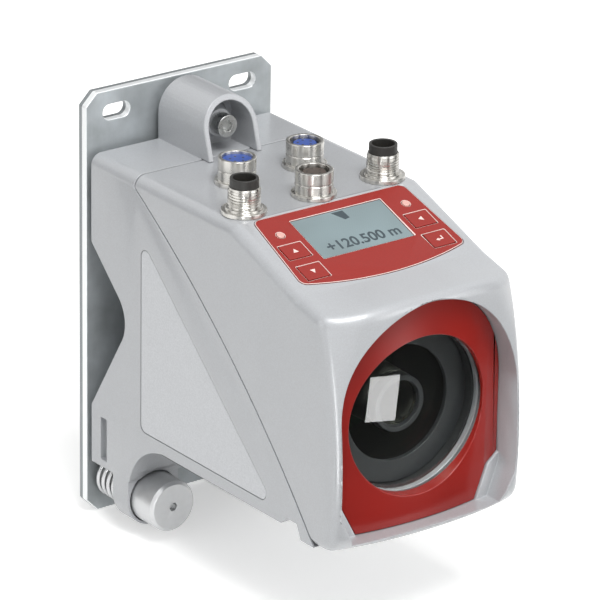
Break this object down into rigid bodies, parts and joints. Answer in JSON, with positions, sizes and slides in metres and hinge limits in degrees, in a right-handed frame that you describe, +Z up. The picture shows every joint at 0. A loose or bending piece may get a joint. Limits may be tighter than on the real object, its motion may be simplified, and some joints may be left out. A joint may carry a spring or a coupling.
{
  "type": "optical distance sensor",
  "caption": "Optical distance sensor: cast housing with round window, sloping keypad and display, round connectors on top, on a spring-loaded wall plate that aligns the beam.",
  "frame": {"origin": "middle of the wall plate's rear face", "axes": "+Y into the wall, -Y along the beam, +Z up, +X to the right seen from the front"},
  "size_m": [0.084, 0.1598, 0.1671],
  "materials": {
    "silver_paint": "satin",
    "zinc_plate": "zinc plated",
    "steel": "plain",
    "spring_steel": "plain",
    "nut_metal": "satin",
    "seal_rubber": "matt",
    "red_bezel": "glossy",
    "red_foil": "satin",
    "front_glass": "clear",
    "lens_glass": "clear",
    "dark_optics": "matt",
    "laser_brass": "plain",
    "circuit_board": "satin",
    "display_pane": "clear",
    "display_grey": "matt",
    "lamp_lens": "glossy",
    "label_film": "satin",
    "nickel": "nickel plated",
    "black_block": "satin",
    "brown_block": "satin",
    "blue_block": "satin",
    "gold": "gold plated"
  },
  "bodies": {
    "mount": {"mounting_plate": "zinc_plate", "pivot_stud": "steel", "pivot_spring": "spring_steel", "alignment_spring": "spring_steel", "top_spring": "spring_steel"},
    "ball_seat": {"ball_washer": "steel"},
    "clamping_nut": {"clamping_nut": "nut_metal"},
    "top_screw": {"top_screw": "steel"},
    "alignment_screw": {"alignment_screw": "steel"},
    "key_up": {"key_up": "red_foil"},
    "key_down": {"key_down": "red_foil"},
    "key_escape": {"key_escape": "red_foil"},
    "key_enter": {"key_enter": "red_foil"},
    "sensor": {"detector_board": "circuit_board", "display_board": "circuit_board", "display_module": "display_grey", "display_window": "display_pane", "front_bezel": "red_bezel", "front_hood": "silver_paint", "front_window": "front_glass", "housing_gasket": "seal_rubber", "keypad_foil": "red_foil", "lamp_left": "lamp_lens", "lamp_right": "lamp_lens", "laser_module": "laser_brass", "lens_barrel": "dark_optics", "lens_ring": "dark_optics", "main_board": "circuit_board", "name_plate": "label_film", "plug_left": "nickel", "plug_left_block": "black_block", "plug_left_contacts": "gold", "plug_right": "nickel", "plug_right_block": "black_block", "plug_right_contacts": "gold", "rear_housing": "silver_paint", "receiver_lens": "lens_glass", "sender_lens": "lens_glass", "sender_tube": "dark_optics", "socket_back_left": "nickel", "socket_back_left_block": "blue_block", "socket_back_right": "nickel", "socket_back_right_block": "blue_block", "socket_middle": "nickel", "socket_middle_block": "brown_block"}
  },
  "joints": [
    {"name": "pitch", "type": "hinge", "parent": "mount", "child": "ball_seat", "pos_m": [-0.0305, -0.0273, -0.06925], "axis": [1, 0, 0], "range_deg": [-0.9, 0.9]},
    {"name": "yaw", "type": "hinge", "parent": "ball_seat", "child": "sensor", "pos_m": [-0.0305, -0.0273, -0.06925], "axis": [0.2114, 0, 0.9774], "range_deg": [-0.6, 0.6]},
    {"name": "nut_turn", "type": "hinge", "parent": "mount", "child": "clamping_nut", "pos_m": [-0.0305, -0.0273, -0.06925], "axis": [0, 1, 0], "continuous": true},
    {"name": "top_screw_turn", "type": "hinge", "parent": "sensor", "child": "top_screw", "pos_m": [0, -0.03, 0.07175], "axis": [0, 1, 0], "range_deg": [-1150, 1150]},
    {"name": "alignment_screw_turn", "type": "hinge", "parent": "sensor", "child": "alignment_screw", "pos_m": [0.0305, -0.026, -0.06925], "axis": [0, 1, 0], "range_deg": [-330, 330]},
    {"name": "key_up_press", "type": "slide", "parent": "sensor", "child": "key_up", "axis": [0, 0.342, -0.9397], "range_m": [0, 0.0004], "stiffness_N_per_m": 500, "springref_m": -0.003},
    {"name": "key_down_press", "type": "slide", "parent": "sensor", "child": "key_down", "axis": [0, 0.342, -0.9397], "range_m": [0, 0.0004], "stiffness_N_per_m": 500, "springref_m": -0.003},
    {"name": "key_escape_press", "type": "slide", "parent": "sensor", "child": "key_escape", "axis": [0, 0.342, -0.9397], "range_m": [0, 0.0004], "stiffness_N_per_m": 500, "springref_m": -0.003},
    {"name": "key_enter_press", "type": "slide", "parent": "sensor", "child": "key_enter", "axis": [0, 0.342, -0.9397], "range_m": [0, 0.0004], "stiffness_N_per_m": 500, "springref_m": -0.003}
  ],
  "couplings": [
    {"joint": "top_screw_turn", "follows": "pitch", "ratio": -1107.4},
    {"joint": "alignment_screw_turn", "follows": "yaw", "ratio": 468.3}
  ]
}
